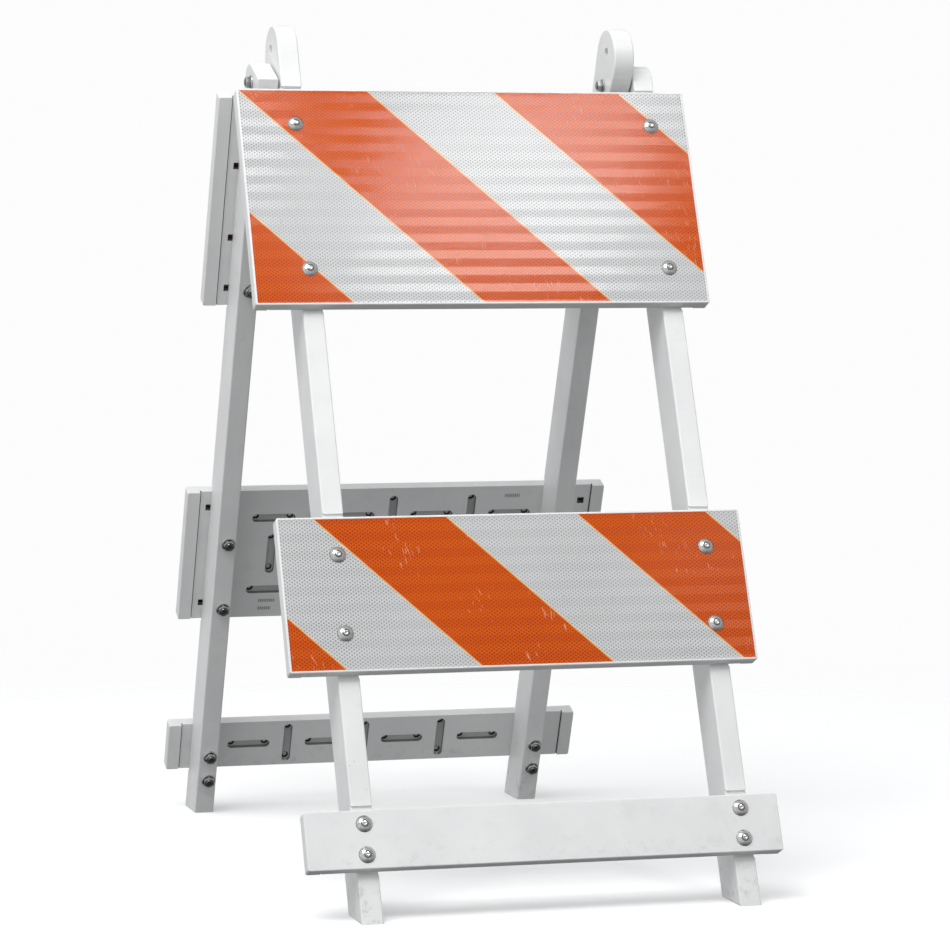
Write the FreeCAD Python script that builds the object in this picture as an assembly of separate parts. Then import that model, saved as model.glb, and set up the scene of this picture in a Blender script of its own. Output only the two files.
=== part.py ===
"""Folding A-frame traffic barricade, 24 in wide, with two striped boards and a plain rail on each side.

Two alike frames are hinged near the top by two bolts. The rear frame is the front frame turned half a turn
about the vertical. Millimetres, +Z up, the ground at Z = 0, the origin on the ground midway between the feet.

A frame is drawn standing upright, with the hinge line on the X axis. "down" is the distance from the hinge
towards the foot, and "out" is the distance from the hinge towards the face that traffic sees.
"""
import FreeCAD, Part
import math
import os

V = FreeCAD.Vector
X_AXIS = V(1, 0, 0)
Z_AXIS = V(0, 0, 1)

# overall
WIDTH = 609.6                  # length of every board, 24 in
HINGE_HEIGHT = 1034.8          # hinge bolts above the ground
HALF_SPREAD = 23.5             # degrees between each frame and the vertical, when open

# legs
LEG_THICK = 27.5               # across, along X
LEG_DEPTH = 67.0               # from the outer to the inner face
HINGE_SETBACK = 7.5            # the hinge stands this far inside the middle of the leg's depth
LEG_GAP = 2.0                  # between the tall and the short leg, filled by the hinge washer
LEG_INSET = 47.8               # from the boards' ends to the middle of the short leg
LEG_ROUND = 2.2                # rounding of the legs' long edges
NOTCH_DEPTH = 3.0              # the boards sit this deep in the legs' outer faces
NOTCH_ABOVE = 9.0              # room in a notch above its board
NOTCH_BELOW = 3.4              # room in a notch below its board

# tall leg's ear
EAR_OVERHANG_OUT = 3.0         # the ear stands out this far over the leg's outer face
EAR_OVERHANG_IN = 13.0         # and this far over its inner face
EAR_CENTRE_UP = 36.0           # middle of the round top, above the hinge
EAR_TAPER_END = 16.0           # the ear's inner side meets the leg's inner face this far below the hinge
LIGHT_HOLE_UP = 46.5           # hole for a warning light's bolt, above the hinge
LIGHT_HOLE_OUT = 3.0
LIGHT_HOLE_DIA = 14.3

# short leg's head
HEAD_UP = 20.0                 # flat top above the hinge
HEAD_ROUND = 28.0              # round outer corner
HEAD_OVERHANG = 14.0           # the head stands out this far over the leg's inner face
HEAD_INNER_DOWN = 4.0          # the head's inner side starts to taper this far below the hinge
HEAD_TAPER_END = 26.0          # and meets the leg's inner face here

# boards
TOP_HEIGHT = 304.8             # 12 in
MIDDLE_HEIGHT = 203.2          # 8 in
RAIL_HEIGHT = 74.0
TOP_DOWN = 35.0                # upper edge of the top board below the hinge
MIDDLE_GAP = 175.8             # between the middle board and the rail
RAIL_LIFT = 48.388             # between the rail and the ground, along the leg through the hinge
BOARD_THICK = 17.0             # between the end lips
LIP_THICK = 3.0                # the end lips stand out this far more at the back
LIP_WIDTH = 18.0
LIP_GROOVE_WIDTH = 1.6         # groove at the foot of each end lip
LIP_GROOVE_DEPTH = 2.5
BOARD_ROUND = 1.6
CORNER_ROUND = 3.0
RIM = 2.8                      # plain rim around the sheeting
RECESS_DEPTH = 0.8
SHEET_THICK = 0.5
SHEET_GAP = 0.15               # between neighbouring stripes, and to the rim

# slots in the boards' backs
SLOT_PITCH = 57.5
SLOT_WIDTH = 12.5
SLOT_LENGTH = 62.5
SLOT_DEPTH = 8.0
DIMPLE_DEPTH = 13.0
DIMPLE_RADIUS = 5.2
SLOT_SHIFT = 12.5              # the middle column stands this far towards the short leg
MIDDLE_SLOT_SHIFT = 5.2        # the same in the middle board

# stripes, falling to the right at 45 degrees
STRIPE_STEP = 172.5            # width of a stripe along the board's edge
TOP_STRIPE_START = 0.0         # where the first stripe border meets the upper edge, from the left end
MIDDLE_STRIPE_START = 45.0

# fasteners
BOLT_DIA = 9.5                 # 3/8 in
BOLT_HEAD_DIA = 21.0
BOLT_HEAD_HEIGHT = 5.2
NECK_UNDER = 0.1               # a bolt's square neck is this much narrower than its shank
NECK_LENGTH = 6.0
NECK_PLAY = 0.5                # a square hole is this much wider than the neck in it
LEG_HOLE_PLAY = 0.7            # a leg's hole is this much wider than the bolt in it
SHEET_HOLE_GAP = 0.25          # between the sheeting and the corners of a bolt's square neck
BOLT_SHIFT = 2.3               # tall leg's bolts outboard, short leg's inboard, of the leg's middle
BOLT_EDGE = 50.0               # from a board's edge to its bolts
RAIL_BOLT_EDGE = 17.6
SPARE_HOLE_END = 32.5          # unused square holes, from the board's end
SPARE_HOLE_EDGE = 25.5
SPARE_HOLE_INNER = 100.0
BOLT_STICK_OUT = 1.2           # bolt end beyond its nut
BOLT_END_CHAMFER = 0.9
NUT_HEIGHT = 8.0
NUT_WALL = 2.3                 # from the bore to a flat
NUT_FLANGE_RIM = 2.85          # the flange stands out this far over the flats
NUT_FLANGE_THICK = 1.8
NUT_BORE_GAP = 0.1             # radial, on the bolt

# hinge
PIVOT_GAP = 0.09               # radial, between a hinge bolt and the rear frame's legs
WASHER_THICK = 1.5
WASHER_DIA = 25.0
HINGE_NUT_GAP = 0.3            # between a hinge nut and the rear leg that turns under it

# derived
LEAN = math.radians(HALF_SPREAD)
LEG_OUTER = LEG_DEPTH / 2 + HINGE_SETBACK
LEG_INNER = HINGE_SETBACK - LEG_DEPTH / 2
BOARD_BACK = LEG_OUTER - NOTCH_DEPTH
BOARD_FRONT = BOARD_BACK + BOARD_THICK
SHORT_LEG_X = WIDTH / 2 - LEG_INSET
TALL_LEG_X = SHORT_LEG_X - LEG_THICK - LEG_GAP
TALL_BOLT_X = -(TALL_LEG_X + BOLT_SHIFT)
SHORT_BOLT_X = SHORT_LEG_X - BOLT_SHIFT
BOLT_RADIUS = BOLT_DIA / 2
NECK_SIDE = BOLT_DIA - NECK_UNDER
SQUARE_HOLE = NECK_SIDE + NECK_PLAY
LEG_HOLE_DIA = BOLT_DIA + LEG_HOLE_PLAY
SHEET_HOLE_DIA = NECK_SIDE * math.sqrt(2) + 2 * SHEET_HOLE_GAP
NUT_FLATS = BOLT_DIA + 2 * NUT_BORE_GAP + 2 * NUT_WALL
NUT_FLANGE_DIA = NUT_FLATS + 2 * NUT_FLANGE_RIM
EAR_OUTER = LEG_OUTER + EAR_OVERHANG_OUT
EAR_RADIUS = (LEG_DEPTH + EAR_OVERHANG_OUT + EAR_OVERHANG_IN) / 2
EAR_CENTRE_OUT = EAR_OUTER - EAR_RADIUS
HEAD_INNER = LEG_INNER - HEAD_OVERHANG
RAIL_DOWN = HINGE_HEIGHT / math.cos(LEAN) - RAIL_LIFT - RAIL_HEIGHT
MIDDLE_DOWN = RAIL_DOWN - MIDDLE_GAP - MIDDLE_HEIGHT
BOARDS = {
    "top_board": (TOP_DOWN, TOP_HEIGHT, BOLT_EDGE),
    "middle_board": (MIDDLE_DOWN, MIDDLE_HEIGHT, BOLT_EDGE),
    "bottom_rail": (RAIL_DOWN, RAIL_HEIGHT, RAIL_BOLT_EDGE),
}
STRIPE_STARTS = {"top_board": TOP_STRIPE_START, "middle_board": MIDDLE_STRIPE_START}
SLOT_SHIFTS = {"top_board": SLOT_SHIFT, "middle_board": MIDDLE_SLOT_SHIFT, "bottom_rail": SLOT_SHIFT}


def at(x, down, out):
    """A point of the upright frame."""
    return V(x, -out, -down)


def block(x0, x1, down0, down1, out0, out1):
    """A box given by its limits in the upright frame."""
    corner = V(x0, -out1, -down1)
    return Part.makeBox(x1 - x0, out1 - out0, down1 - down0, corner)


def rod_out(x, down, out0, out1, radius):
    """A round rod that runs outwards."""
    return Part.makeCylinder(radius, out1 - out0, at(x, down, out0), V(0, -1, 0))


def rod_across(x0, x1, down, out, radius):
    """A round rod that runs along X."""
    return Part.makeCylinder(radius, x1 - x0, at(x0, down, out), X_AXIS)


def foot_down(out):
    """How far below the hinge the ground is, on the leg, at a distance out."""
    return (HINGE_HEIGHT + out * math.sin(LEAN)) / math.cos(LEAN)


def outer_outline():
    """The leg's outer side from just above the first board to the foot, with a notch for each board."""
    points = []
    for down, height, _ in BOARDS.values():
        upper = down - NOTCH_ABOVE
        lower = down + height + NOTCH_BELOW
        points += [(upper, LEG_OUTER), (upper, BOARD_BACK), (lower, BOARD_BACK), (lower, LEG_OUTER)]
    points.append((foot_down(LEG_OUTER), LEG_OUTER))
    points.append((foot_down(LEG_INNER), LEG_INNER))
    return points


def polyline(x, points):
    """Straight edges through (down, out) points at one x."""
    ends = [at(x, *p) for p in points]
    return [Part.makeLine(a, b) for a, b in zip(ends, ends[1:])]


def leg_solid(edges, x_middle):
    """A leg from the edges of its side outline, with all its side edges rounded."""
    face = Part.Face(Part.Wire(edges))
    solid = face.extrude(V(LEG_THICK, 0, 0))
    solid.translate(V(x_middle - LEG_THICK / 2, 0, 0))
    sides = [f for f in solid.Faces if abs(abs(f.normalAt(0, 0).x) - 1) < 1e-6]
    rounded = [e for f in sides for e in f.Edges]
    return solid.makeFillet(LEG_ROUND, rounded)


def tall_leg():
    """Leg with the round ear above the hinge."""
    outline = outer_outline()
    outline[0] = (outline[0][0], EAR_OUTER)
    up = -EAR_CENTRE_UP
    # the ear's inner side is the tangent from the taper's end to the round
    reach_down = EAR_TAPER_END - up
    reach_out = LEG_INNER - EAR_CENTRE_OUT
    reach = math.hypot(reach_down, reach_out)
    turn = math.atan2(reach_out, reach_down) - math.acos(EAR_RADIUS / reach)
    tangent = (up + EAR_RADIUS * math.cos(turn), EAR_CENTRE_OUT + EAR_RADIUS * math.sin(turn))
    crown = (up - EAR_RADIUS, EAR_CENTRE_OUT)
    taper_end = (EAR_TAPER_END, LEG_INNER)
    edges = polyline(0, [(up, EAR_OUTER)] + outline + [taper_end, tangent])
    round_top = Part.Arc(at(0, *tangent), at(0, *crown), at(0, up, EAR_OUTER))
    leg = leg_solid(edges + [round_top.toShape()], -TALL_LEG_X)
    light = rod_across(-TALL_LEG_X - LEG_THICK, -TALL_LEG_X + LEG_THICK,
                       -LIGHT_HOLE_UP, LIGHT_HOLE_OUT, LIGHT_HOLE_DIA / 2)
    return leg.cut(light)


def short_leg():
    """Leg that ends in a flat head just above the hinge."""
    corner_out = LEG_OUTER - HEAD_ROUND
    corner_down = HEAD_ROUND - HEAD_UP
    middle = HEAD_ROUND * math.sqrt(0.5)
    start = (corner_down, LEG_OUTER)
    end = (-HEAD_UP, corner_out)
    mid = (corner_down - middle, corner_out + middle)
    head = [(HEAD_TAPER_END, LEG_INNER), (HEAD_INNER_DOWN, HEAD_INNER), (-HEAD_UP, HEAD_INNER), end]
    edges = polyline(0, [start] + outer_outline() + head)
    corner = Part.Arc(at(0, *end), at(0, *mid), at(0, *start))
    return leg_solid(edges + [corner.toShape()], SHORT_LEG_X)


def bolt_places(name):
    """Where a board's bolts stand: (x, down)."""
    down, height, edge = BOARDS[name]
    return [(x, down + d) for x in (TALL_BOLT_X, SHORT_BOLT_X) for d in (edge, height - edge)]


def with_bolt_holes(leg, x, pivot_radius):
    """A leg with the hinge hole and the board bolts' holes."""
    cuts = [rod_across(min(x, 0) * 2, max(x, 0) * 2, 0, 0, pivot_radius)]
    for name in BOARDS:
        for bolt_x, down in bolt_places(name):
            if bolt_x * x > 0:
                cuts.append(rod_out(bolt_x, down, LEG_INNER - 1, LEG_OUTER + 1, LEG_HOLE_DIA / 2))
    return leg.cut(cuts)


def slot_cutter(x, down, upright):
    """A round-ended recess in a board's back, with a deeper dimple at each end."""
    run = (SLOT_LENGTH - SLOT_WIDTH) / 2
    half = SLOT_WIDTH / 2
    if upright:
        ends = [(x, down - run), (x, down + run)]
        bar = block(x - half, x + half, down - run, down + run, BOARD_BACK - 1, BOARD_BACK + SLOT_DEPTH)
    else:
        ends = [(x - run, down), (x + run, down)]
        bar = block(x - run, x + run, down - half, down + half, BOARD_BACK - 1, BOARD_BACK + SLOT_DEPTH)
    rounds = [rod_out(*e, BOARD_BACK - 1, BOARD_BACK + SLOT_DEPTH, half) for e in ends]
    dimples = [rod_out(*e, BOARD_BACK, BOARD_BACK + DIMPLE_DEPTH, DIMPLE_RADIUS) for e in ends]
    return bar.fuse(rounds + dimples).removeSplitter()


def slot_cutters(name):
    """The basket-weave of slots in a board's back, as wide as the room between the legs."""
    down, height, _ = BOARDS[name]
    shift = SLOT_SHIFTS[name]
    middle = down + height / 2
    room = min(SHORT_LEG_X - shift, TALL_LEG_X + shift) - LEG_THICK / 2 - SLOT_LENGTH / 2
    columns = int(room // SLOT_PITCH)
    rows = int((height - SLOT_LENGTH) // SLOT_PITCH) // 2
    lie_first = 1 if rows == 0 else 0
    cutters = []
    for row in range(-rows, rows + 1):
        for column in range(-columns, columns + 1):
            upright = (row + column + lie_first) % 2 == 1
            cutters.append(slot_cutter(shift + column * SLOT_PITCH, middle + row * SLOT_PITCH, upright))
    return cutters


def square_hole(x, down):
    half = SQUARE_HOLE / 2
    return block(x - half, x + half, down - half, down + half, BOARD_BACK - LIP_THICK - 1, BOARD_FRONT + 1)


def spare_holes(name):
    """Unused square holes near the ends of a striped board."""
    down, height, _ = BOARDS[name]
    drops = {SPARE_HOLE_EDGE, height - SPARE_HOLE_EDGE}
    if height > 2 * SPARE_HOLE_INNER + SQUARE_HOLE:
        drops |= {SPARE_HOLE_INNER, height - SPARE_HOLE_INNER}
    end = WIDTH / 2 - SPARE_HOLE_END
    return [square_hole(side * end, down + drop) for side in (-1, 1) for drop in sorted(drops)]


def board(name):
    """A board with its end lips, slots, holes and, under the stripes, a shallow recess."""
    down, height, _ = BOARDS[name]
    half = WIDTH / 2
    low = down + height
    blank = block(-half, half, down, low, BOARD_BACK - LIP_THICK, BOARD_FRONT)
    corners = [e for e in blank.Edges if abs(e.tangentAt(0).y) > 0.99]
    blank = blank.makeFillet(CORNER_ROUND, corners)
    faces = [f for f in blank.Faces if abs(f.normalAt(0, 0).y) > 0.99]
    blank = blank.makeFillet(BOARD_ROUND, [e for f in faces for e in f.Edges])
    inner = half - LIP_WIDTH
    cuts = [block(-inner, inner, down - 1, low + 1, BOARD_BACK - LIP_THICK - 1, BOARD_BACK)]
    for x in (-inner, inner - LIP_GROOVE_WIDTH):
        cuts.append(block(x, x + LIP_GROOVE_WIDTH, down - 1, low + 1, BOARD_BACK - 1, BOARD_BACK + LIP_GROOVE_DEPTH))
    cuts += [square_hole(x, d) for x, d in bolt_places(name)]
    cuts += slot_cutters(name)
    if name in STRIPE_STARTS:
        floor = BOARD_FRONT - RECESS_DEPTH
        cuts.append(block(-half + RIM, half - RIM, down + RIM, low - RIM, floor, BOARD_FRONT + 1))
        cuts += spare_holes(name)
    return blank.cut(cuts)


def stripe_panels(name):
    """The board's sheeting as (orange, white) groups of separate stripes."""
    down, height, _ = BOARDS[name]
    inset = RIM + SHEET_GAP
    floor = BOARD_FRONT - RECESS_DEPTH
    half = WIDTH / 2
    panel = block(-half + inset, half - inset, down + inset, down + height - inset, floor, floor + SHEET_THICK)
    holes = [rod_out(x, d, floor - 1, floor + 2, SHEET_HOLE_DIA / 2) for x, d in bolt_places(name)]
    panel = panel.cut(holes)
    count = int((WIDTH + height) // STRIPE_STEP) + 2
    groups = ([], [])
    for index in range(-count, count):
        left = -half + STRIPE_STARTS[name] + index * STRIPE_STEP + SHEET_GAP / 2
        right = left + STRIPE_STEP - SHEET_GAP
        corners = [(left, down), (right, down), (right + height, down + height), (left + height, down + height)]
        points = [at(x, d, floor - 1) for x, d in corners]
        band = Part.Face(Part.makePolygon(points + points[:1])).extrude(V(0, -3, 0))
        stripe = panel.common(band)
        groups[index % 2].extend(stripe.Solids)
    return groups


def carriage_bolt(grip):
    """Domed bolt along Z, its head above Z = 0, its square neck and its shank below, down to -grip."""
    radius = BOLT_HEAD_DIA / 2
    dome = (radius ** 2 + BOLT_HEAD_HEIGHT ** 2) / (2 * BOLT_HEAD_HEIGHT)
    ball = Part.makeSphere(dome, V(0, 0, BOLT_HEAD_HEIGHT - dome))
    head = ball.common(Part.makeCylinder(radius + 1, BOLT_HEAD_HEIGHT + 1, V(0, 0, 0)))
    shank = Part.makeCylinder(BOLT_RADIUS, grip, V(0, 0, -grip))
    end = min(shank.Edges, key=lambda e: e.BoundBox.ZMax)
    shank = shank.makeChamfer(BOLT_END_CHAMFER, [end])
    neck = Part.makeBox(NECK_SIDE, NECK_SIDE, NECK_LENGTH, V(-NECK_SIDE / 2, -NECK_SIDE / 2, -NECK_LENGTH))
    return head.fuse([shank, neck]).removeSplitter()


def flange_nut():
    """Hexagon flange nut along Z, its flange on Z = 0."""
    across = NUT_FLATS / math.sqrt(3)
    corners = [V(across * math.cos(a), across * math.sin(a), 0) for a in [math.radians(60 * i) for i in range(7)]]
    hexagon = Part.Face(Part.makePolygon(corners)).extrude(V(0, 0, NUT_HEIGHT))
    slope = across - NUT_FLATS / 2
    trim = Part.makeCone(across + NUT_HEIGHT, NUT_FLATS / 2, NUT_HEIGHT + slope / 2, V(0, 0, -slope / 2))
    flange = Part.makeCone(NUT_FLANGE_DIA / 2, across, NUT_FLANGE_THICK)
    bore = Part.makeCylinder(BOLT_RADIUS + NUT_BORE_GAP, NUT_HEIGHT * 2, V(0, 0, -NUT_HEIGHT / 2))
    return hexagon.common(trim).fuse(flange).cut(bore)


def turned(shape, axis, degrees, place):
    """A copy of a shape turned about an axis through the origin, then moved."""
    copy = shape.copy()
    copy.rotate(V(0, 0, 0), axis, degrees)
    copy.translate(place)
    return copy


def board_fasteners(name):
    """The bolts and nuts that hold a board: (bolts, nuts)."""
    seat = BOARD_FRONT
    if name in STRIPE_STARTS:
        seat = BOARD_FRONT - RECESS_DEPTH + SHEET_THICK
    grip = seat - LEG_INNER + NUT_HEIGHT + BOLT_STICK_OUT
    bolt = carriage_bolt(grip)
    nut = flange_nut()
    bolts = [turned(bolt, X_AXIS, 90, at(x, d, seat)) for x, d in bolt_places(name)]
    nuts = [turned(nut, X_AXIS, -90, at(x, d, LEG_INNER)) for x, d in bolt_places(name)]
    return bolts, nuts


def hinge_hardware():
    """Bolts, nuts and washers of both hinges, in the open barricade's place.

    Both bolts have their heads towards +X and their square necks in the front frame's legs.
    """
    pieces = {}
    grip = 2 * LEG_THICK + LEG_GAP + HINGE_NUT_GAP + NUT_HEIGHT + BOLT_STICK_OUT
    head_x = {"left": -TALL_LEG_X + LEG_THICK / 2, "right": SHORT_LEG_X + LEG_THICK / 2}
    for side, x in head_x.items():
        height = V(0, 0, HINGE_HEIGHT)
        nut_x = x - 2 * LEG_THICK - LEG_GAP - HINGE_NUT_GAP
        front_leg_x = x - LEG_THICK
        washer = Part.makeCylinder(WASHER_DIA / 2, WASHER_THICK)
        washer = washer.cut(Part.makeCylinder(BOLT_RADIUS + PIVOT_GAP, 2 * WASHER_THICK))
        pieces[side + "_hinge_bolt"] = turned(carriage_bolt(grip), V(0, 1, 0), 90, V(x, 0, 0) + height)
        pieces[side + "_hinge_nut"] = turned(flange_nut(), V(0, 1, 0), -90, V(nut_x, 0, 0) + height)
        pieces[side + "_hinge_washer"] = turned(washer, V(0, 1, 0), -90, V(front_leg_x, 0, 0) + height)
    return pieces


def neck_recess(x, lean):
    """The square pocket that a hinge bolt's neck fills, in the leg under its head."""
    side = SQUARE_HOLE
    pocket = Part.makeBox(NECK_LENGTH + 1, side, side, V(x - NECK_LENGTH, -side / 2, -side / 2))
    pocket.rotate(V(0, 0, 0), X_AXIS, lean)
    return pocket


def frame_pieces(pivot_radius, holds_bolts):
    """All the pieces of one upright frame."""
    tall = with_bolt_holes(tall_leg(), -TALL_LEG_X, pivot_radius)
    short = with_bolt_holes(short_leg(), SHORT_LEG_X, pivot_radius)
    if holds_bolts:
        tall = tall.cut(neck_recess(-TALL_LEG_X + LEG_THICK / 2, HALF_SPREAD))
        short = short.cut(neck_recess(SHORT_LEG_X + LEG_THICK / 2, HALF_SPREAD))
    pieces = {"tall_leg": tall, "short_leg": short}
    for name in BOARDS:
        pieces[name] = board(name)
        bolts, nuts = board_fasteners(name)
        pieces[name + "_bolts"] = Part.makeCompound(bolts)
        pieces[name + "_nuts"] = Part.makeCompound(nuts)
        if name in STRIPE_STARTS:
            orange, white = stripe_panels(name)
            pieces[name + "_orange_sheeting"] = Part.makeCompound(orange)
            pieces[name + "_white_sheeting"] = Part.makeCompound(white)
    return pieces


def leaned(shape, half_turn):
    """A frame's piece leaned from upright to its open place."""
    shape.rotate(V(0, 0, 0), X_AXIS, -HALF_SPREAD)
    shape.translate(V(0, 0, HINGE_HEIGHT))
    if half_turn:
        shape.rotate(V(0, 0, 0), Z_AXIS, 180)
    return shape


def main():
    os.makedirs("parts", exist_ok=True)
    nodes = hinge_hardware()
    for name, shape in frame_pieces(BOLT_RADIUS + NUT_BORE_GAP, True).items():
        nodes["front_" + name] = leaned(shape, False)
    for name, shape in frame_pieces(BOLT_RADIUS + PIVOT_GAP, False).items():
        nodes["rear_" + name] = leaned(shape, True)
    for name, shape in nodes.items():
        shape.exportStep("parts/" + name + ".step")


main()
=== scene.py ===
"""Finishes, fasteners and small mouldings of the folding traffic barricade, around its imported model."""
import math

import bpy
from mathutils import Matrix, Vector


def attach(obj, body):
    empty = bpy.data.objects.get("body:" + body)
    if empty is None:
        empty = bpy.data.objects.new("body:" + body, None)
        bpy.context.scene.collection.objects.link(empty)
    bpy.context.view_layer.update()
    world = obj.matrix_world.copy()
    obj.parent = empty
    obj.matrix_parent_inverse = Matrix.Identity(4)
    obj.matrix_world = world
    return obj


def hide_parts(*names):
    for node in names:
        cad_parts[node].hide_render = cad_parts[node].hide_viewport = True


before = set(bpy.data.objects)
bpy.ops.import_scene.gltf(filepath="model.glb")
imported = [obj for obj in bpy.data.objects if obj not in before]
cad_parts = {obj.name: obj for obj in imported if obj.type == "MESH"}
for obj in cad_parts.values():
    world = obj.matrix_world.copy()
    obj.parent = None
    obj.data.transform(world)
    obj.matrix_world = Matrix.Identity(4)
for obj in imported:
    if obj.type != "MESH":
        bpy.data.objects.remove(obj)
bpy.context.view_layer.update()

MM = 0.001

# the barricade's own sizes, in millimetres
HINGE_HEIGHT = 1034.8
HALF_SPREAD = 23.5
BOARD_LENGTH = 609.6
BOARD_BACK = 38.0              # back of the boards, outwards of the hinge
BOARD_FRONT = 55.0
RECESS_DEPTH = 0.8
SHEET_THICK = 0.5
LEG_INNER = -26.0              # inner face of the legs
LEG_THICK = 27.5
LEG_GAP = 2.0
TALL_LEG_X = 227.5
SHORT_LEG_X = 257.0
TALL_BOLT_X = -229.8
SHORT_BOLT_X = 254.7
HINGE_NUT_GAP = 0.3
# each board: how far its upper edge is below the hinge, its height, and its bolts from its edges
BOARDS = {
    "top_board": (35.0, 304.8, 50.0),
    "middle_board": (627.0, 203.2, 50.0),
    "bottom_rail": (1006.0, 74.0, 17.6),
}
STRIPE_STEP = 172.5
STRIPE_STARTS = {"top_board": 0.0, "middle_board": 45.0}

# slots in the boards' backs
SLOT_PITCH = 57.5
SLOT_RUN = 25.0                # from a slot's middle to the dimple at its end
SLOT_COLUMNS = 3               # to each side of the middle one
SLOT_ROWS = {"top_board": 2, "middle_board": 1, "bottom_rail": 0}       # above and below the middle one
SLOT_SHIFTS = {"top_board": 12.5, "middle_board": 5.2, "bottom_rail": 12.5}
SLOT_DEPTH = 8.0
DIMPLE_DEPTH = 13.0
LIP_WIDTH = 18.0
LIP_GROOVE_WIDTH = 1.6
LIP_GROOVE_DEPTH = 2.5

# fasteners
BOLT_RADIUS = 4.75
HEAD_RADIUS = 10.5
HEAD_HEIGHT = 5.2
NECK_SIDE = 9.4
NECK_LENGTH = 6.0
NUT_HEIGHT = 8.0
NUT_FLATS = 14.3
FLANGE_RADIUS = 10.0
BOLT_STICK_OUT = 1.2
THREAD_PITCH = 1.59
THREAD_DEPTH = 0.5
THREAD_LENGTH = 22.0
NUT_BORE_RADIUS = 4.85
SHADED_RIM = 0.6                 # width of the painted shade round the rim of a bolt head
SHADED_RING = (3.5, 4.75)        # radii of the painted shade in a bolt head's ring groove and on the shank
SHADED_COLLAR = (1.4, 3.0)       # heights of the band of painted shade above a nut's flange
SHADED_BORE = 5.0                # radius of the painted shade in a nut's bore
NUT_TURN_FIRST = 11            # degrees, so that no two nuts of a board stand alike
NUT_TURN_STEP = 37

# brightness of the studio below and above the horizon
SKY_LOW = 0.08
SKY_LEVEL = 0.60
SKY_HIGH = 0.66
SKY_TO_LEFT = 0.30             # the left is brighter by this share, and the right darker
SKY_COLOUR = (0.97, 0.985, 1.0, 1)
FLOOR_RADIUS = 7.0
FLOOR_COLOUR = (0.93, 0.93, 0.93, 1)
FLOOR_GLOW = 0.18
FLOOR_FADE = (0.45, 2.6)       # distances from the middle between which the floor fades out
BACKDROP_RADIUS = 24.0
BACKDROP_GLOW = 0.98

LEAN = math.radians(HALF_SPREAD)
HINGE = Matrix.Translation((0, 0, HINGE_HEIGHT * MM))
FRONT = HINGE @ Matrix.Rotation(-LEAN, 4, "X")
REAR = Matrix.Rotation(math.pi, 4, "Z") @ FRONT
SIDES = {"front": FRONT, "rear": REAR}
OUTWARD = Matrix.Rotation(math.radians(90), 4, "X")
INWARD = Matrix.Rotation(math.radians(-90), 4, "X")


def at(x, down, out):
    """A place on the upright frame, in metres."""
    return Matrix.Translation((x * MM, -out * MM, -down * MM))


# ---------------------------------------------------------------- modelling


def alone(piece):
    """Selects one piece and nothing else."""
    bpy.ops.object.select_all(action="DESELECT")
    piece.select_set(True)
    bpy.context.view_layer.objects.active = piece


def named(name):
    piece = bpy.context.active_object
    piece.name = name
    piece.data.name = name
    return piece


def turned_piece(name, segments, profile):
    """A round piece about Z: a disc drawn up through (radius, height) steps in millimetres."""
    bpy.ops.object.select_all(action="DESELECT")
    radius, height = profile[0]
    bpy.ops.mesh.primitive_circle_add(vertices=segments, radius=radius * MM, fill_type="NGON",
                                      location=(0, 0, height * MM))
    piece = named(name)
    bpy.ops.object.transform_apply(location=True, rotation=True, scale=True)
    bpy.ops.object.mode_set(mode="EDIT")
    bpy.ops.mesh.select_all(action="SELECT")
    for next_radius, next_height in profile[1:]:
        rise = (next_height - height) * MM
        bpy.ops.mesh.extrude_region_move(TRANSFORM_OT_translate={"value": (0, 0, rise)})
        share = next_radius / radius
        bpy.ops.transform.resize(value=(share, share, 1), center_override=(0, 0, next_height * MM))
        radius, height = next_radius, next_height
    bpy.ops.mesh.select_all(action="SELECT")
    bpy.ops.mesh.normals_make_consistent(inside=False)
    bpy.ops.object.mode_set(mode="OBJECT")
    return piece


def bar(name, size, place, bevel=0.0, segments=2):
    """A bar of a size at a place, in millimetres, with rounded edges."""
    bpy.ops.object.select_all(action="DESELECT")
    bpy.ops.mesh.primitive_cube_add(size=1, location=[c * MM for c in place])
    piece = named(name)
    piece.scale = [s * MM for s in size]
    bpy.ops.object.transform_apply(location=True, rotation=True, scale=True)
    if bevel:
        bpy.ops.object.mode_set(mode="EDIT")
        bpy.ops.mesh.select_all(action="SELECT")
        bpy.ops.mesh.bevel(offset=bevel * MM, segments=segments, affect="EDGES")
        bpy.ops.object.mode_set(mode="OBJECT")
    return piece


def worked(piece, tool, operation):
    """Adds, cuts or keeps the common part of a piece with a tool, which is then thrown away."""
    alone(piece)
    work = piece.modifiers.new("work", "BOOLEAN")
    work.operation = operation
    work.object = tool
    work.solver = "EXACT"
    bpy.ops.object.modifier_apply(modifier=work.name)
    bpy.data.objects.remove(tool)
    return piece


def painted(piece, share):
    """Paints shade onto a pattern piece: how dark each of its corners is painted.

    share gives it from a corner's radius and height, in millimetres.
    """
    layer = piece.data.attributes.new("painted_shade", "FLOAT", "POINT")
    for corner, value in zip(piece.data.vertices, layer.data):
        radius = math.hypot(corner.co.x, corner.co.y) / MM
        value.value = share(radius, corner.co.z / MM)
    return piece


def smoothed(piece, degrees=32):
    alone(piece)
    bpy.ops.object.shade_smooth_by_angle(angle=math.radians(degrees))
    return piece


def set_out(name, pattern, places):
    """Copies of a pattern piece at some places, as one piece whose object stays at the origin."""
    copies = []
    for place in places:
        copy = pattern.copy()
        copy.data = pattern.data.copy()
        copy.data.transform(place)
        bpy.context.scene.collection.objects.link(copy)
        copies.append(copy)
    alone(copies[0])
    for copy in copies:
        copy.select_set(True)
    if len(copies) > 1:
        bpy.ops.object.join()
    return named(name)


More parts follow.
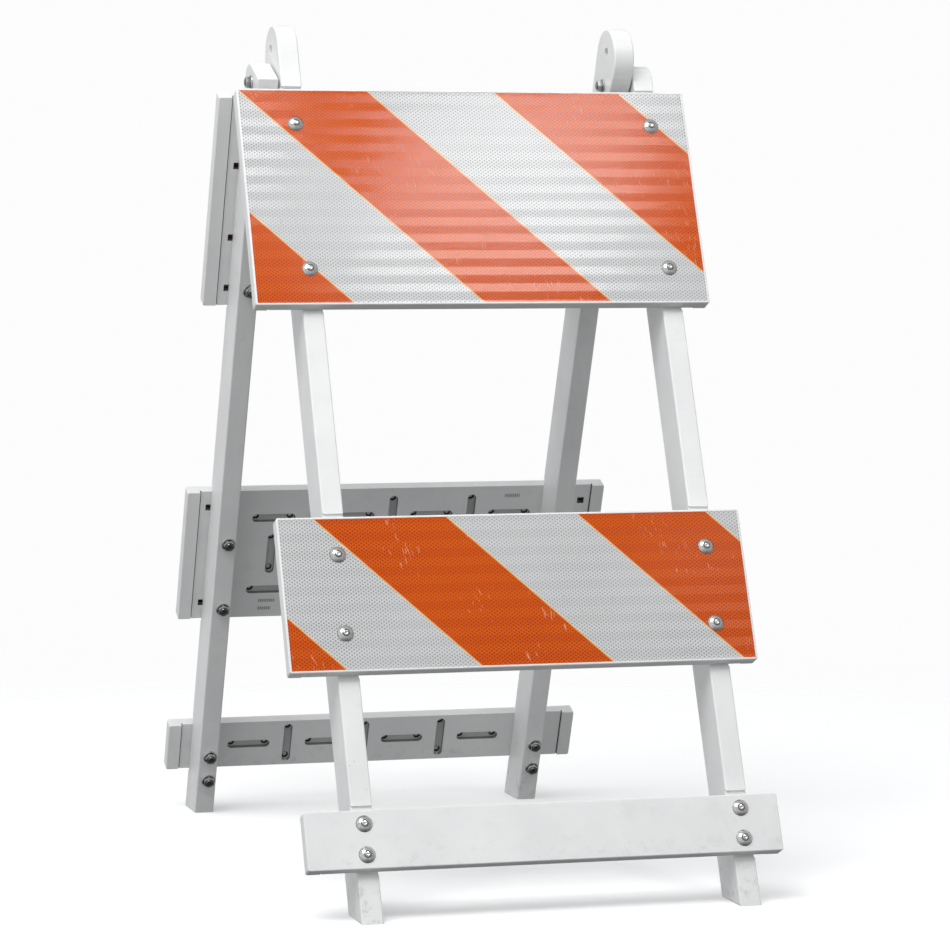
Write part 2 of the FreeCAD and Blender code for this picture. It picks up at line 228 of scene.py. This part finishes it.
def bolt_pattern(grip):
    """Carriage bolt along Z, its domed head above 0, with a plain turned ring in the dome."""
    dome = (HEAD_RADIUS ** 2 + HEAD_HEIGHT ** 2) / (2 * HEAD_HEIGHT)

    def crown(radius, sink=0.0):
        return radius, HEAD_HEIGHT - dome + math.sqrt(dome ** 2 - radius ** 2) - sink

    head = [(HEAD_RADIUS - 0.35, -0.02), (HEAD_RADIUS, 0.12), (HEAD_RADIUS - 0.05, 0.42)]
    head += [crown(r) for r in (9.6, 8.9, 8.0, 7.0, 6.0, 5.2)]
    head += [crown(4.9, 0.05), crown(4.6, 0.42), crown(3.9, 0.45), crown(3.6, 0.06)]
    head += [crown(3.0, 0.02), crown(2.0, 0.04), crown(1.6, 0.35), crown(0.5, 0.45)]
    piece = turned_piece("bolt_pattern", 44, head)
    bolt_end = -grip
    thread_end = bolt_end + THREAD_LENGTH
    shank = [(BOLT_RADIUS - 1.0, bolt_end), (BOLT_RADIUS - 0.55, bolt_end + 0.35)]
    height = bolt_end + 0.7
    while height < thread_end:
        shank.append((BOLT_RADIUS, height + 0.35 * THREAD_PITCH))
        shank.append((BOLT_RADIUS - THREAD_DEPTH, height + 0.85 * THREAD_PITCH))
        height += THREAD_PITCH
    shank += [(BOLT_RADIUS - 0.05, height + 1.0), (BOLT_RADIUS - 0.05, 0.5)]
    piece = worked(piece, turned_piece("shank", 24, shank), "UNION")
    neck = bar("neck", (NECK_SIDE, NECK_SIDE, NECK_LENGTH), (0, 0, -NECK_LENGTH / 2 + 0.05), 0.5, 1)
    piece = smoothed(worked(piece, neck, "UNION"))

    def painted_shade(radius, height):
        """Painted shade at the head's rim, in its ring, on the shank and in the roots of the thread."""
        darkened = radius > HEAD_RADIUS - SHADED_RIM or SHADED_RING[0] < radius < SHADED_RING[1]
        return 0.85 if darkened else 0.0

    return painted(piece, painted_shade)


def nut_pattern():
    """Hexagon flange nut along Z with chamfered corners, a rounded flange and a countersunk bore."""
    bpy.ops.object.select_all(action="DESELECT")
    across = NUT_FLATS / math.sqrt(3)
    bpy.ops.mesh.primitive_cylinder_add(vertices=6, radius=across * MM, depth=NUT_HEIGHT * MM,
                                        location=(0, 0, NUT_HEIGHT / 2 * MM))
    hexagon = named("nut_pattern")
    bpy.ops.object.transform_apply(location=True, rotation=True, scale=True)
    top = NUT_HEIGHT
    chamfer = [(across + 1.5, -1.0), (across + 1.5, top - 1.75), (NUT_FLATS / 2 - 0.25, top), (3.0, top)]
    piece = worked(hexagon, turned_piece("chamfer", 48, chamfer), "INTERSECT")
    flange = [(FLANGE_RADIUS - 0.4, 0.0), (FLANGE_RADIUS, 0.45), (FLANGE_RADIUS - 0.12, 0.95),
              (FLANGE_RADIUS - 0.6, 1.3), (across - 0.2, 2.3), (5.2, 2.5)]
    piece = worked(piece, turned_piece("flange", 48, flange), "UNION")
    bore = [(5.7, -0.6), (NUT_BORE_RADIUS, 0.6), (NUT_BORE_RADIUS, top - 0.75), (5.75, top + 0.15),
            (5.75, top + 1.0)]
    piece = smoothed(worked(piece, turned_piece("bore", 32, bore), "DIFFERENCE"))

    def painted_shade(radius, height):
        """Painted shade in the bore and in the corner between the flange and the hexagon."""
        darkened = radius < SHADED_BORE or SHADED_COLLAR[0] < height < SHADED_COLLAR[1]
        return 0.9 if darkened else 0.0

    return painted(piece, painted_shade)


# ---------------------------------------------------------------- finishes


class Finish:
    """A node material with a few short ways to add nodes."""

    def __init__(self, name):
        self.material = bpy.data.materials.new(name)
        self.material.use_nodes = True
        self.tree = self.material.node_tree
        self.shader = self.tree.nodes["Principled BSDF"]
        self.place = self.tree.nodes.new("ShaderNodeTexCoord").outputs["Object"]

    def put(self, value, socket):
        """Links a node's output to a socket, or sets the socket to a constant."""
        if isinstance(value, bpy.types.NodeSocket):
            self.tree.links.new(value, socket)
        else:
            socket.default_value = value

    def math(self, operation, a, b=0.0, c=0.0):
        node = self.tree.nodes.new("ShaderNodeMath")
        node.operation = operation
        for value, socket in zip((a, b, c), node.inputs):
            self.put(value, socket)
        return node.outputs[0]

    def noise(self, scale, detail=2.0, roughness=0.5, place=None):
        node = self.tree.nodes.new("ShaderNodeTexNoise")
        self.put(place or self.place, node.inputs["Vector"])
        node.inputs["Scale"].default_value = scale
        node.inputs["Detail"].default_value = detail
        node.inputs["Roughness"].default_value = roughness
        return node.outputs["Fac"]

    def cells(self, scale):
        """How far a place is from the nearest of some scattered points."""
        node = self.tree.nodes.new("ShaderNodeTexVoronoi")
        self.put(self.place, node.inputs["Vector"])
        node.inputs["Scale"].default_value = scale
        return node.outputs["Distance"]

    def turned_place(self, location=(0, 0, 0), rotation=(0, 0, 0), scale=(1, 1, 1), kind="TEXTURE"):
        node = self.tree.nodes.new("ShaderNodeMapping")
        node.vector_type = kind
        self.put(self.place, node.inputs["Vector"])
        node.inputs["Location"].default_value = location
        node.inputs["Rotation"].default_value = rotation
        node.inputs["Scale"].default_value = scale
        return node.outputs[0]

    def ramp(self, value, low, high, to_low=0.0, to_high=1.0):
        """Maps low..high smoothly onto to_low..to_high."""
        node = self.tree.nodes.new("ShaderNodeMapRange")
        node.interpolation_type = "SMOOTHSTEP"
        for socket, number in zip(node.inputs, (value, low, high, to_low, to_high)):
            self.put(number, socket)
        return node.outputs[0]

    def blend(self, share, a, b):
        """Mixes two colours."""
        node = self.tree.nodes.new("ShaderNodeMix")
        node.data_type = "RGBA"
        self.put(share, node.inputs[0])
        self.put(a, node.inputs[6])
        self.put(b, node.inputs[7])
        return node.outputs[2]

    def joined(self, *numbers):
        node = self.tree.nodes.new("ShaderNodeCombineXYZ")
        for value, socket in zip(numbers, node.inputs):
            self.put(value, socket)
        return node.outputs[0]

    def parts(self, place):
        node = self.tree.nodes.new("ShaderNodeSeparateXYZ")
        self.put(place, node.inputs[0])
        return node.outputs

    def raised(self, height, distance, strength=1.0, normal=None):
        """Turns a height into a bump, on top of another bump where one is given."""
        node = self.tree.nodes.new("ShaderNodeBump")
        node.inputs["Strength"].default_value = strength
        node.inputs["Distance"].default_value = distance
        self.put(height, node.inputs["Height"])
        if normal:
            self.put(normal, node.inputs["Normal"])
        return node.outputs[0]

    def finish(self, **sockets):
        """Fills the shader's sockets, with _ for the spaces in their names, and gives the material."""
        for name, value in sockets.items():
            self.put(value, self.shader.inputs[name.replace("_", " ")])
        return self.material


PLASTIC_COLOURS = {
    "ground": (0.735, 0.737, 0.735, 1), "pale": (0.79, 0.79, 0.785, 1),
    "rubbed": (0.60, 0.60, 0.59, 1), "streak": (0.52, 0.52, 0.52, 1),
    "speck": (0.16, 0.15, 0.14, 1), "foot_grime": (0.33, 0.31, 0.29, 1),
    # the near-black last colour is painted shade for the boards' slots, dimples, holes, lip grooves and
    # mould ticks
    "recess_painted_shade": (0.035, 0.034, 0.033, 1),
}
# the near-black last colour is painted shade, for bolt heads' rims and rings, bolt ends, nut bores and the
# corners above nut flanges
STEEL_COLOURS = {
    "dark": (0.56, 0.555, 0.54, 1), "bright": (0.72, 0.72, 0.71, 1),
    "trace": (0.30, 0.29, 0.28, 1), "darkened": (0.12, 0.115, 0.11, 1),
}
FOOT_HEIGHT = 0.13             # metres up from the ground that the feet are grimy
BOARD_RIM = 6.0                # strip above and below a board's slots that gets no painted shade
LIP_RIM = 21.0                 # strip at each end of a board that gets none of the slots' painted shade

# rows of plain mould ticks in the rear middle board's back, painted dark with the recesses' shade: x from,
# x to, down from, down to
TICK_ROWS = ((166.0, 190.0, 801.5, 806.5), (171.0, 190.0, 814.0, 819.0), (-180.0, -158.0, 640.0, 645.0))
TICK_PITCH = 3.1


def upright_parts(f, side):
    """The (x, y, z) of a place on a side's upright frame, from the hinge, in metres."""
    turn = (-LEAN, 0, 0 if side == "front" else math.pi)
    return f.parts(f.turned_place((0, 0, HINGE_HEIGHT * MM), turn))


def between(f, value, low, high, soft=0.4):
    """1 where a value is between two limits, with soft borders."""
    above = f.ramp(value, low - soft, low + soft)
    below = f.ramp(value, high + soft, high - soft)
    return f.math("MULTIPLY", above, below)


def recess_painted_shade(f, side, board):
    """Painted shade on a board: how dark its slots, dimples and holes are painted, more the deeper they
    are, and its lip grooves and mould ticks.
    """
    x, out, down = (f.math("MULTIPLY", part, share / MM)
                    for part, share in zip(upright_parts(f, side), (1, -1, -1)))
    upper, height, _ = BOARDS[board]
    inside = between(f, f.math("ABSOLUTE", x), -1.0, BOARD_LENGTH / 2 - LIP_RIM)
    rows = between(f, down, upper + BOARD_RIM, upper + height - BOARD_RIM)
    inside = f.math("MULTIPLY", inside, rows)
    slot_floor = BOARD_BACK + SLOT_DEPTH
    # the slots' walls, floors and dimples are painted darker, as if shade fell deeper in them
    walls = f.math("MULTIPLY", between(f, out, BOARD_BACK + 0.9, slot_floor - 0.7), 0.72)
    floor = f.ramp(out, BOARD_BACK + 0.6, BOARD_BACK + 1.2, 0.0, 0.25)
    dimple = f.ramp(out, slot_floor + 0.3, slot_floor + 1.5, 0.0, 0.9)
    deep = f.math("MAXIMUM", f.math("MAXIMUM", walls, floor), dimple)
    groove_end = BOARD_LENGTH / 2 - LIP_WIDTH
    groove_start = groove_end - LIP_GROOVE_WIDTH
    groove = between(f, f.math("ABSOLUTE", x), groove_start - 0.1, groove_end + 0.1, 0.05)
    groove_floor = BOARD_BACK + LIP_GROOVE_DEPTH
    within = between(f, out, BOARD_BACK + 0.3, groove_floor + 0.3, 0.2)
    groove = f.math("MULTIPLY", groove, within)
    deep = f.math("MULTIPLY", deep, f.ramp(out, BOARD_FRONT - 1.2, BOARD_FRONT - 2.0))
    darkening = f.math("MAXIMUM", f.math("MULTIPLY", inside, deep), f.math("MULTIPLY", groove, 0.85))
    if side == "rear" and board == "middle_board":
        for x_from, x_to, down_from, down_to in TICK_ROWS:
            along = between(f, x, x_from, x_to)
            row = f.math("MULTIPLY", along, between(f, down, down_from, down_to, 0.8))
            row = f.math("MULTIPLY", row, f.ramp(out, BOARD_BACK + 0.6, BOARD_BACK + 0.3))
            phase = f.math("FRACT", f.math("DIVIDE", x, TICK_PITCH))
            wave = f.math("ABSOLUTE", f.math("SUBTRACT", phase, 0.5))
            tick = f.math("MULTIPLY", row, f.ramp(wave, 0.10, 0.25, 0.12, 0.62))
            darkening = f.math("MAXIMUM", darkening, tick)
    return darkening


def white_plastic(side=None, board=None):
    """Moulded white plastic: a fine grain, faint flow marks, rubbed patches, grime specks and nicks, and
    on a board painted shade in its recesses.
    """
    f = Finish(f"{side}_{board}_plastic" if board else "white_plastic")
    inks = PLASTIC_COLOURS
    cloud = f.noise(9.0, 3.0, 0.6)
    rubbed = f.ramp(f.noise(34.0, 4.0, 0.62), 0.55, 0.74)
    colour = f.blend(f.ramp(cloud, 0.3, 0.72), inks["ground"], inks["pale"])
    colour = f.blend(f.math("MULTIPLY", rubbed, 0.22), colour, inks["rubbed"])
    specks = f.ramp(f.cells(95.0), 0.10, 0.045)
    specks = f.math("MULTIPLY", specks, f.ramp(f.noise(13.0, 2.0), 0.62, 0.72))
    colour = f.blend(f.math("MULTIPLY", specks, 0.55), colour, inks["speck"])
    height = f.parts(f.place)[2]
    low = f.ramp(height, FOOT_HEIGHT, 0.0)
    darkening = f.math("MULTIPLY", f.ramp(f.noise(70.0, 5.0, 0.7), 0.50, 0.72), low)
    colour = f.blend(f.math("MULTIPLY", darkening, 0.45), colour, inks["foot_grime"])
    streak_place = f.turned_place(scale=(1.0, 1.0, 0.08), kind="POINT")
    streaks = f.ramp(f.noise(260.0, 3.0, 0.6, streak_place), 0.62, 0.78)
    colour = f.blend(f.math("MULTIPLY", streaks, 0.10), colour, inks["streak"])
    if board:
        # painted shade in the board's slots, dimples, holes, lip grooves and mould ticks
        colour = f.blend(recess_painted_shade(f, side, board), colour, inks["recess_painted_shade"])
    roughness = f.ramp(f.noise(48.0, 4.0, 0.65), 0.25, 0.8, 0.30, 0.50)
    grain = f.raised(f.noise(1500.0, 2.0, 0.5), 0.00005, 0.45)
    flow = f.raised(f.noise(120.0, 3.0, 0.55), 0.0004, 0.16, grain)
    nicks = f.raised(f.math("SUBTRACT", 1.0, specks), 0.0004, 0.5, flow)
    return f.finish(Base_Color=colour, Roughness=roughness, Normal=nicks, IOR=1.5, Specular_IOR_Level=0.45)


def plated_steel():
    """Zinc-plated steel: bright, slightly mottled, with fine pits and darker traces."""
    f = Finish("plated_steel")
    inks = STEEL_COLOURS
    mottle = f.noise(420.0, 3.0, 0.6)
    colour = f.blend(f.ramp(mottle, 0.3, 0.7), inks["dark"], inks["bright"])
    darkened = f.ramp(f.noise(150.0, 4.0, 0.7), 0.55, 0.75)
    colour = f.blend(f.math("MULTIPLY", darkened, 0.4), colour, inks["trace"])
    # painted shade on the fasteners' rims, rings, bolt ends, bores and collars, read from each piece's
    # painted corners
    painted_on = f.tree.nodes.new("ShaderNodeAttribute")
    painted_on.attribute_name = "painted_shade"
    colour = f.blend(painted_on.outputs["Fac"], colour, inks["darkened"])
    roughness = f.ramp(f.noise(600.0, 3.0, 0.6), 0.3, 0.75, 0.09, 0.22)
    pits = f.raised(f.noise(900.0, 3.0, 0.6), 0.0001, 0.12)
    return f.finish(Base_Color=colour, Roughness=roughness, Normal=pits, Metallic=1.0)


# each colour's pale is the painted sheen of every other band
SHEET_COLOURS = {
    "orange": {"ground": (0.565, 0.080, 0.001, 1), "dot": (0.28, 0.010, 0.001, 1),
               "pale": (0.61, 0.100, 0.002, 1), "worn": (0.80, 0.42, 0.27, 1),
               "edge": (0.82, 0.36, 0.045, 1)},
    "white": {"ground": (0.55, 0.555, 0.555, 1), "dot": (0.17, 0.172, 0.175, 1),
              "pale": (0.59, 0.595, 0.60, 1), "worn": (0.40, 0.40, 0.39, 1),
              "edge": (0.80, 0.60, 0.36, 1)},
}
EDGE_SHARES = {"orange": 0.9, "white": 0.35}
SHEET_SPECK = (0.22, 0.08, 0.04, 1)
DOT_PITCH = 6.4                # between the dots of a row
DOT_ROW = 4.7                  # between every other row
BAND_PITCH = 23.3
BAND_START = -0.158            # share of a pitch
BAND_TILT = 0.016              # radians, alternately up and down


def sheeting(colour_name, side, board):
    """Prismatic reflective sheeting: staggered cells, bands of two glosses with painted sheen on every
    other one, scuffs and a stripe's edge.
    """
    f = Finish(f"{side}_{board}_{colour_name}_sheeting")
    inks = SHEET_COLOURS[colour_name]
    x, _, z = upright_parts(f, side)
    x = f.math("MULTIPLY", x, 1 / MM)
    z = f.math("MULTIPLY", z, 1 / MM)

    def dot_distance(shift):
        """How far a place is from the nearest dot, in millimetres."""
        across = f.math("ADD", f.math("DIVIDE", x, DOT_PITCH), shift)
        across = f.math("SUBTRACT", f.math("FRACT", across), 0.5)
        along = f.math("ADD", f.math("DIVIDE", z, DOT_ROW), shift)
        along = f.math("SUBTRACT", f.math("FRACT", along), 0.5)
        across = f.math("POWER", f.math("MULTIPLY", across, DOT_PITCH), 2.0)
        along = f.math("POWER", f.math("MULTIPLY", along, DOT_ROW), 2.0)
        return f.math("SQRT", f.math("ADD", across, along))

    dots = f.math("MINIMUM", dot_distance(0.0), dot_distance(0.5))
    dots = f.ramp(dots, 1.45, 0.55)
    phase = f.math("FRACT", f.math("ADD", f.math("DIVIDE", z, BAND_PITCH), BAND_START))
    band = f.math("MULTIPLY", f.ramp(phase, 0.0, 0.05), f.ramp(phase, 0.54, 0.49))
    patch = f.noise(5.5, 2.0, 0.5)
    # every other band is painted paler: the bands and their glosses are real, the paler colour is painted
    # sheen
    colour = f.blend(f.math("MULTIPLY", band, 0.55), inks["ground"], inks["pale"])
    dot_share = f.math("MULTIPLY", dots, f.ramp(patch, 0.3, 0.7, 0.62, 0.95))
    colour = f.blend(dot_share, colour, inks["dot"])
    # the cut edge between two stripes shows as a thin yellowish line
    top_edge, _, _ = BOARDS[board]
    shift = BOARD_LENGTH / 2 - STRIPE_STARTS[board] + top_edge
    slant = f.math("ADD", f.math("ADD", x, z), shift + STRIPE_STEP / 2)
    slant = f.math("SUBTRACT", f.math("FRACT", f.math("DIVIDE", slant, STRIPE_STEP)), 0.5)
    slant = f.math("MULTIPLY", f.math("ABSOLUTE", slant), STRIPE_STEP / math.sqrt(2))
    edge = f.ramp(slant, 1.35, 0.85)
    colour = f.blend(f.math("MULTIPLY", edge, EDGE_SHARES[colour_name]), colour, inks["edge"])
    # scratches and specks
    wander = f.math("MULTIPLY", f.noise(60.0, 2.0, 0.5), 9.0)
    aside = f.math("ADD", f.math("ADD", x, f.math("MULTIPLY", z, 0.22)), wander)
    scratch_place = f.joined(aside, 0.0, f.math("MULTIPLY", z, 0.09))
    scratches = f.ramp(f.noise(0.62, 1.0, 0.4, scratch_place), 0.655, 0.70)
    where = f.ramp(f.noise(15.0, 2.0, 0.5), 0.53, 0.60)
    scratches = f.math("MULTIPLY", scratches, where)
    colour = f.blend(f.math("MULTIPLY", scratches, 0.6), colour, inks["worn"])
    specks = f.ramp(f.cells(42.0), 0.07, 0.03)
    specks = f.math("MULTIPLY", specks, f.ramp(f.noise(21.0, 1.0), 0.56, 0.62))
    colour = f.blend(f.math("MULTIPLY", specks, 0.7), colour, SHEET_SPECK)
    # the bands lean a little to and fro, so they mirror the light at different heights
    roughness = f.ramp(band, 0.0, 1.0, 0.14, 0.10)
    roughness = f.math("ADD", roughness, f.math("MULTIPLY", scratches, 0.4))
    lens = f.raised(dots, 0.00006, 0.25)
    ripple = f.raised(f.noise(20.0, 2.0, 0.5), 0.0006, 0.25, lens)
    leaning = f.math("ABSOLUTE", f.math("SUBTRACT", phase, 0.5))
    steps = f.raised(leaning, BAND_PITCH * MM * BAND_TILT, 1.0, ripple)
    return f.finish(Base_Color=colour, Roughness=roughness, Normal=steps, IOR=1.5, Specular_IOR_Level=0.22)


plastic = white_plastic()
steel = plated_steel()


def dress(node, material):
    """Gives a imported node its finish, in its own material slots."""
    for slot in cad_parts[node].material_slots:
        slot.material = material


for side in SIDES:
    for leg in ("tall_leg", "short_leg"):
        dress(f"{side}_{leg}", plastic)
    for board in BOARDS:
        dress(f"{side}_{board}", white_plastic(side, board))
    for board in STRIPE_STARTS:
        for colour_name in SHEET_COLOURS:
            dress(f"{side}_{board}_{colour_name}_sheeting", sheeting(colour_name, side, board))
for side in ("left", "right"):
    dress(f"{side}_hinge_washer", steel)

# ---------------------------------------------------------------- fasteners


def settle(piece, body, material, slot, *nodes):
    """A finished piece: its finish, the body it moves with, and the nodes that it stands for."""
    piece.data.materials.clear()
    piece.data.materials.append(material)
    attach(piece, body)
    if nodes:
        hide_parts(*nodes)


def bolt_places(board):
    down, height, edge = BOARDS[board]
    return [(x, down + d) for x in (TALL_BOLT_X, SHORT_BOLT_X) for d in (edge, height - edge)]


nut = nut_pattern()
for board in BOARDS:
    seat = BOARD_FRONT
    if board in STRIPE_STARTS:
        seat += SHEET_THICK - RECESS_DEPTH
    bolt = bolt_pattern(seat - LEG_INNER + NUT_HEIGHT + BOLT_STICK_OUT)
    for side, stand in SIDES.items():
        heads, ends = [], []
        for number, (x, down) in enumerate(bolt_places(board)):
            turn = math.radians(NUT_TURN_STEP * number + NUT_TURN_FIRST)
            heads.append(stand @ at(x, down, seat) @ OUTWARD)
            ends.append(stand @ at(x, down, LEG_INNER) @ INWARD @ Matrix.Rotation(turn, 4, "Z"))
        bolts = set_out(f"{side}_{board}_carriage_bolts", bolt, heads)
        nuts = set_out(f"{side}_{board}_flange_nuts", nut, ends)
        settle(bolts, f"{side}_frame", steel, "plated_steel", f"{side}_{board}_bolts")
        settle(nuts, f"{side}_frame", steel, "plated_steel", f"{side}_{board}_nuts")
    bpy.data.objects.remove(bolt)

hinge_grip = 2 * LEG_THICK + LEG_GAP + HINGE_NUT_GAP + NUT_HEIGHT + BOLT_STICK_OUT
bolt = bolt_pattern(hinge_grip)
heads_x = {"left": -TALL_LEG_X + LEG_THICK / 2, "right": SHORT_LEG_X + LEG_THICK / 2}
for side, x in heads_x.items():
    head = HINGE @ at(x, 0, 0) @ Matrix.Rotation(math.radians(90), 4, "Y")
    nut_x = x - 2 * LEG_THICK - LEG_GAP - HINGE_NUT_GAP
    end = HINGE @ at(nut_x, 0, 0) @ Matrix.Rotation(math.radians(-90), 4, "Y")
    hinge_bolt = set_out(f"{side}_hinge_carriage_bolt", bolt, [head])
    hinge_nut = set_out(f"{side}_hinge_flange_nut", nut, [end])
    settle(hinge_bolt, "front_frame", steel, "plated_steel", f"{side}_hinge_bolt")
    settle(hinge_nut, "front_frame", steel, "plated_steel", f"{side}_hinge_nut")
bpy.data.objects.remove(bolt)
bpy.data.objects.remove(nut)

# ---------------------------------------------------------------- small mouldings


def slot_ends(board):
    """The middle of every dimple in a board's back: (x, down)."""
    down, height, _ = BOARDS[board]
    rows = SLOT_ROWS[board]
    lie_first = 1 if rows == 0 else 0
    ends = []
    for row in range(-rows, rows + 1):
        for column in range(-SLOT_COLUMNS, SLOT_COLUMNS + 1):
            x = SLOT_SHIFTS[board] + column * SLOT_PITCH
            middle = down + height / 2 + row * SLOT_PITCH
            upright = (row + column + lie_first) % 2 == 1
            for way in (-SLOT_RUN, SLOT_RUN):
                ends.append((x, middle + way) if upright else (x + way, middle))
    return ends


# a small round boss with a stud on top, at the bottom of each dimple
PIP_PROFILE = [(3.1, -0.4), (3.1, 2.2), (2.7, 2.6), (2.2, 2.6), (1.9, 2.2), (1.5, 2.25), (1.2, 2.9),
               (0.5, 3.1)]
pip = smoothed(turned_piece("pip", 14, PIP_PROFILE))
for board in BOARDS:
    for side, stand in SIDES.items():
        floors = [stand @ at(x, down, BOARD_BACK + DIMPLE_DEPTH) @ INWARD for x, down in slot_ends(board)]
        pips = set_out(f"{side}_{board}_dimple_pips", pip, floors)
        settle(pips, f"{side}_frame", plastic, "white_plastic")
bpy.data.objects.remove(pip)

# ---------------------------------------------------------------- floor, light and camera


def seen_only(piece):
    """Lets the camera see a piece of the studio, and keeps it out of the object's light."""
    piece.visible_diffuse = False
    piece.visible_glossy = False
    piece.visible_transmission = False


def light_source(name, level):
    """A material that only shines."""
    f = Finish(name)
    return f.finish(Base_Color=(0, 0, 0, 1), Emission_Color=(1, 1, 1, 1), Emission_Strength=level,
                    Specular_IOR_Level=0.0)


bpy.ops.object.select_all(action="DESELECT")
bpy.ops.mesh.primitive_circle_add(vertices=96, radius=FLOOR_RADIUS, fill_type="NGON", location=(0, 0, 0))
floor = named("floor")
paint = Finish("pale_floor")
across, along, _ = paint.parts(paint.place)
across, along = (paint.math("POWER", part, 2.0) for part in (across, along))
reach = paint.math("SQRT", paint.math("ADD", across, along))
clear = paint.tree.nodes.new("ShaderNodeBsdfTransparent")
fade = paint.tree.nodes.new("ShaderNodeMixShader")
paint.put(paint.ramp(reach, *FLOOR_FADE), fade.inputs[0])
paint.put(paint.shader.outputs[0], fade.inputs[1])
paint.put(clear.outputs[0], fade.inputs[2])
paint.put(fade.outputs[0], paint.tree.nodes["Material Output"].inputs["Surface"])
paint.finish(Base_Color=FLOOR_COLOUR, Roughness=0.8, Specular_IOR_Level=0.1,
             Emission_Color=(1, 1, 1, 1), Emission_Strength=FLOOR_GLOW)
floor.data.materials.append(paint.material)
seen_only(floor)

bpy.ops.object.select_all(action="DESELECT")
bpy.ops.mesh.primitive_ico_sphere_add(subdivisions=4, radius=BACKDROP_RADIUS, location=(0, 0, 0))
backdrop = named("backdrop")
backdrop.data.materials.append(light_source("white_backdrop", BACKDROP_GLOW))
backdrop.visible_shadow = False
seen_only(backdrop)

world = bpy.data.worlds.new("studio")
bpy.context.scene.world = world
world.use_nodes = True
nodes, links = world.node_tree.nodes, world.node_tree.links
direction = nodes.new("ShaderNodeTexCoord")
split = nodes.new("ShaderNodeSeparateXYZ")
links.new(direction.outputs["Generated"], split.inputs[0])
sky = nodes.new("ShaderNodeMath")
sky.operation = "ADD"
# each slope: the two heights it runs between, and its values there
sky_slopes = ((-0.80, -0.20, SKY_LOW, SKY_LEVEL), (0.0, 0.5, 0.0, SKY_HIGH - SKY_LEVEL))
for socket, limits in zip(sky.inputs, sky_slopes):
    share = nodes.new("ShaderNodeMapRange")
    links.new(split.outputs[2], share.inputs[0])
    for limit, number in zip(share.inputs[1:], limits):
        limit.default_value = number
    links.new(share.outputs[0], socket)
sideways = nodes.new("ShaderNodeMapRange")
links.new(split.outputs[0], sideways.inputs[0])
for limit, number in zip(sideways.inputs[1:], (-1.0, 1.0, 1.0 + SKY_TO_LEFT, 1.0 - SKY_TO_LEFT)):
    limit.default_value = number
strength = nodes.new("ShaderNodeMath")
strength.operation = "MULTIPLY"
links.new(sky.outputs[0], strength.inputs[0])
links.new(sideways.outputs[0], strength.inputs[1])
links.new(strength.outputs[0], nodes["Background"].inputs["Strength"])
nodes["Background"].inputs["Color"].default_value = SKY_COLOUR


# a large softbox, above and to the left in front
KEY_PLACE = Vector((-1.7, -1.9, 4.0))
KEY_AIM = Vector((0.0, 0.0, 0.6))
KEY_SIDE = 2.6
KEY_POWER = 113.0
light = bpy.data.lights.new("key_softbox", "AREA")
light.shape = "RECTANGLE"
light.size = light.size_y = KEY_SIDE
light.energy = KEY_POWER
lamp = bpy.data.objects.new("key_softbox", light)
bpy.context.scene.collection.objects.link(lamp)
key_turn = (KEY_AIM - KEY_PLACE).to_track_quat("-Z", "Y").to_matrix().to_4x4()
lamp.matrix_world = Matrix.Translation(KEY_PLACE) @ key_turn

# bright panels where the striped boards mirror them, all in one plane: corners as (right, up) from the
# plane's middle, and brightness
GLARE_MIDDLE = Vector((1.2228, -2.7108, 3.7300))
GLARE_RIGHT = Vector((0.91728, 0.39824, 0.0))
GLARE_UP = Vector((-0.28248, 0.65065, 0.70488))
GLARES = {
    "main_glare": (((-0.22, 0.40), (-0.57, -0.10), (0.04, -0.28), (0.47, 0.31)), 16.0),
    "corner_glare": (((-0.78, 0.58), (-0.78, 0.30), (-0.56, 0.32), (-0.49, 0.52)), 18.0),
    "low_glare": (((0.00, -0.77), (-0.03, -1.20), (0.24, -1.20), (0.26, -0.80)), 2.6),
}
for name, (corners, level) in GLARES.items():
    bpy.ops.object.select_all(action="DESELECT")
    bpy.ops.mesh.primitive_circle_add(vertices=4, radius=1.0, fill_type="NGON", location=(0, 0, 0))
    panel = named(name)
    for corner, (right, up) in zip(panel.data.vertices, corners):
        corner.co = GLARE_MIDDLE + right * GLARE_RIGHT + up * GLARE_UP
    panel.data.materials.append(light_source(name + "_shine", level))
    panel.visible_camera = False

# a long lens, in front and a little to the left, at the top boards' height
CAMERA_PLACE = (-1.2814, -4.8474, 0.8391)
CAMERA_LENS = 141.4
VIEW = Vector((0.26146, 0.96300, -0.06523))
camera_data = bpy.data.cameras.new("camera")
camera_data.sensor_width = 36.0
camera_data.lens = CAMERA_LENS
camera_data.clip_end = 100.0
camera = bpy.data.objects.new("camera", camera_data)
bpy.context.scene.collection.objects.link(camera)
camera.location = CAMERA_PLACE
camera.rotation_euler = VIEW.to_track_quat("-Z", "Y").to_euler()
bpy.context.scene.camera = camera
bpy.context.scene.view_settings.view_transform = "Standard"
